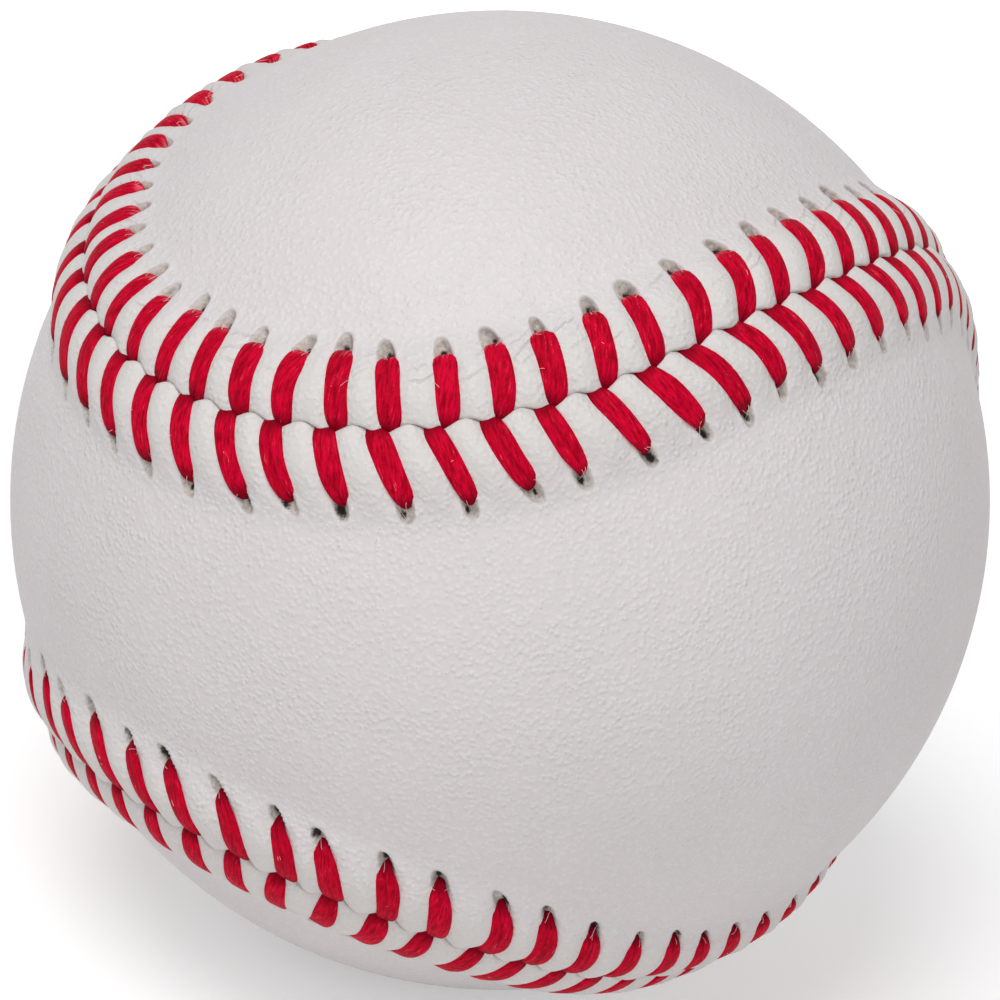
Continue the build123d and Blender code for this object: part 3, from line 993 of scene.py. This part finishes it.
def seam_thread(name, start, seam, reliefs, thread, material):
    """One of the two threads: a leg on each panel by turns, all round the seam."""
    leg, leg_shape = thread_template(LEG_SIDES, len(LEG_RINGS) - 1)
    wisp, wisp_shape = thread_template(FIBRE_SIDES, FIBRE_RINGS)
    bm = bmesh.new()
    tables = []
    for number in range(reliefs[1].stitching.count):
        side = 1 if (number + start) % 2 else -1
        relief = reliefs[side]
        tone = relief.stitching.tone[number]
        bm.from_mesh(leg)
        values = thread_leg(seam, relief, thread, side, number, leg_shape)
        tables.append(strand_table(*values, tone, 0, side < 0))
        for strand in range(FIBRES):
            bm.from_mesh(wisp)
            values = loose_fibre(seam, relief, thread, side, number, strand, wisp_shape)
            tables.append(strand_table(*values, tone, 1, 0))
    table = np.concatenate(tables)
    for vert, place in zip(bm.verts, table[:, :3]):
        vert.co = place
    mesh = smooth_mesh(bm, name)
    bpy.data.meshes.remove(leg)
    bpy.data.meshes.remove(wisp)
    for mark, values in zip(STRAND_MARKS, table[:, 3:].T):
        put_mark(mesh, mark, values)
    mesh.materials.append(material)
    piece = link_piece(mesh, name)
    smooth = piece.modifiers.new("round_strands", "SUBSURF")
    smooth.levels = 1
    smooth.render_levels = 1
    return piece


def sewing(context):
    """The seam, and the relief of each panel's leather by side."""
    sizes = context.scene.ball_seam
    seam = Seam(sizes)
    leather = context.scene.ball_leather
    reliefs = {side: Relief(seam, Stitching(seam, sizes, side), leather) for side in (1, -1)}
    return seam, reliefs


# Stage


def seen_rays(tree):
    """Mask that is 1 for the rays that show the background."""
    path = tree.nodes.new("ShaderNodeLightPath")
    kinds = ("Is Camera Ray", "Is Glossy Ray", "Is Transmission Ray")
    seen, mirrored, through = (Value(tree, path.outputs[kind]) for kind in kinds)
    return seen.most(mirrored).most(through)


def stage_floor(studio):
    """Pale floor that takes the ball's shadow and fades into the white backdrop."""
    bm = bmesh.new()
    bmesh.ops.create_grid(bm, x_segments=1, y_segments=1, size=FLOOR_SIZE)
    bmesh.ops.translate(bm, verts=bm.verts, vec=(0, 0, -BALL_RADIUS))
    mesh = freed_mesh(bm, "floor")
    finish = Finish("pale_floor")
    away = finish.place.vector("LENGTH", output="Value")
    pale = away.rise(0.1, 0.4) * (1 - FLOOR_GLOW) + FLOOR_GLOW
    finish.set("Base Color", tuple(studio.floor_colour))
    finish.set("Emission Color", (1.0, 1.0, 1.0))
    finish.set("Emission Strength", seen_rays(finish.tree) * pale)
    finish.set("Roughness", 0.9)
    finish.set("Specular IOR Level", 0.0)
    mesh.materials.append(finish.material)
    link_piece(mesh, "floor")


def soft_lamp(name, place, size, power):
    """Round area lamp that faces the ball."""
    lamp = bpy.data.lights.new(name, "AREA")
    lamp.shape = "DISK"
    lamp.size = size
    lamp.energy = power
    holder = bpy.data.objects.new(name, lamp)
    holder.location = place
    holder.rotation_euler = (-Vector(place)).to_track_quat("-Z", "Y").to_euler()
    bpy.context.scene.collection.objects.link(holder)


def stage_light(scene):
    """Even white sky, dimmer as a light than as a backdrop, and two soft lamps."""
    world = bpy.data.worlds.new("studio")
    world.use_nodes = True
    tree = world.node_tree
    sky = tree.nodes["Background"]
    sky.inputs["Color"].default_value = (1, 1, 1, 1)
    plug(tree, seen_rays(tree) * (1 - SKY_LIGHT) + SKY_LIGHT, sky.inputs["Strength"])
    scene.world = world
    for name, place, size, power in LAMPS:
        soft_lamp(name, place, size, power)
    scene.view_settings.view_transform = "Standard"


def stage_camera(scene, studio):
    """Camera at the studied view: turned about the ball, then rolled about its own axis."""
    back = Vector((
        math.sin(studio.azimuth) * math.cos(studio.elevation),
        -math.cos(studio.azimuth) * math.cos(studio.elevation),
        math.sin(studio.elevation),
    ))
    across = Vector((0, 0, 1)).cross(back).normalized()
    up = back.cross(across)
    turn = Matrix((across, up, back)).transposed().to_4x4()
    lens = bpy.data.cameras.new("camera")
    holder = bpy.data.objects.new("camera", lens)
    holder.matrix_world = (Matrix.Translation(back * studio.distance * BALL_RADIUS) @ turn
                           @ Matrix.Rotation(studio.roll, 4, "Z"))
    outline = 2 / math.sqrt(studio.distance ** 2 - 1)
    lens.sensor_width = 36.0
    lens.lens = lens.sensor_width * studio.fill / outline
    lens.clip_start = 0.01
    scene.collection.objects.link(holder)
    scene.camera = holder


# Operators


class BALL_OT_core(bpy.types.Operator):
    """Finish the cork and rubber centre"""

    bl_idname = "ball.core"
    bl_label = "Core"

    def execute(self, context):
        black = rubber_finish("black_rubber", (0.030, 0.029, 0.028), (0.075, 0.072, 0.07))
        red = rubber_finish("red_rubber", (0.46, 0.05, 0.04), (0.56, 0.13, 0.10))
        paint_node("cork_core", cork_finish())
        paint_node("core_shell_upper", black)
        paint_node("core_shell_lower", black)
        paint_node("core_washer", red)
        paint_node("core_jacket", red)
        return {"FINISHED"}


class BALL_OT_windings(bpy.types.Operator):
    """Finish the wound yarn and the cement over it"""

    bl_idname = "ball.windings"
    bl_label = "Windings"

    def execute(self, context):
        grey = yarn_finish("grey_wool_yarn", 2600.0, (0.46, 0.46, 0.47), (0.16, 0.16, 0.17))
        white = yarn_finish("white_wool_yarn", 3000.0, (0.84, 0.82, 0.76), (0.45, 0.42, 0.36))
        cotton = yarn_finish("finishing_yarn", 5200.0, (0.88, 0.86, 0.80), (0.50, 0.47, 0.41))
        cement = rubber_finish("rubber_cement", (0.70, 0.58, 0.36), (0.82, 0.74, 0.55))
        paint_node("first_winding", grey)
        paint_node("second_winding", white)
        paint_node("third_winding", grey)
        paint_node("finishing_winding", cotton)
        paint_node("adhesive_coat", cement)
        return {"FINISHED"}


class BALL_OT_cover_panels(bpy.types.Operator):
    """Model the two leather panels with their sewn edges"""

    bl_idname = "ball.cover_panels"
    bl_label = "Cover Panels"

    def execute(self, context):
        seam, reliefs = sewing(context)
        material = leather_finish(context.scene.ball_leather)
        for node, side in SIDES.items():
            piece = cover_panel(node + "_leather", side, seam, reliefs[side], material)
            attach(piece, "root")
            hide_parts(node)
        return {"FINISHED"}


class BALL_OT_seam_threads(bpy.types.Operator):
    """Model the two waxed threads that sew the panels together"""

    bl_idname = "ball.seam_threads"
    bl_label = "Seam Threads"

    def execute(self, context):
        seam, reliefs = sewing(context)
        thread = context.scene.ball_thread
        material = thread_finish(thread)
        for node, start in (("seam_thread_a", 1), ("seam_thread_b", 0)):
            piece = seam_thread(node + "_waxed", start, seam, reliefs, thread, material)
            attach(piece, "root")
            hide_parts(node)
        return {"FINISHED"}


class BALL_OT_stage(bpy.types.Operator):
    """Set the floor, the soft studio light and the camera"""

    bl_idname = "ball.stage"
    bl_label = "Stage"

    def execute(self, context):
        studio = context.scene.ball_studio
        stage_floor(studio)
        stage_light(context.scene)
        stage_camera(context.scene, studio)
        return {"FINISHED"}


GROUPS = {
    "ball_seam": SeamSizes,
    "ball_leather": LeatherSizes,
    "ball_thread": ThreadSizes,
    "ball_studio": StudioSettings,
}
OPERATORS = (
    BALL_OT_core,
    BALL_OT_windings,
    BALL_OT_cover_panels,
    BALL_OT_seam_threads,
    BALL_OT_stage,
)


class BALL_PT_sidebar(bpy.types.Panel):
    """Lists the steps that dress the ball"""

    bl_label = "Stitched Ball"
    bl_idname = "BALL_PT_sidebar"
    bl_space_type = "VIEW_3D"
    bl_region_type = "UI"
    bl_category = "Ball"

    def draw(self, context):
        for operator in OPERATORS:
            self.layout.operator(operator.bl_idname)
        for group in GROUPS:
            box = self.layout.box()
            settings = getattr(context.scene, group)
            for name in settings.__annotations__:
                box.prop(settings, name)


def register():
    for kind in (*GROUPS.values(), *OPERATORS, BALL_PT_sidebar):
        bpy.utils.register_class(kind)
    for name, group in GROUPS.items():
        setattr(bpy.types.Scene, name, bpy.props.PointerProperty(type=group))


def unregister():
    for name in GROUPS:
        delattr(bpy.types.Scene, name)
    for kind in (BALL_PT_sidebar, *reversed(OPERATORS), *reversed(GROUPS.values())):
        bpy.utils.unregister_class(kind)


def main():
    register()
    bpy.ops.ball.core()
    bpy.ops.ball.windings()
    bpy.ops.ball.cover_panels()
    bpy.ops.ball.seam_threads()
    bpy.ops.ball.stage()


if __name__ == "__main__":
    main()
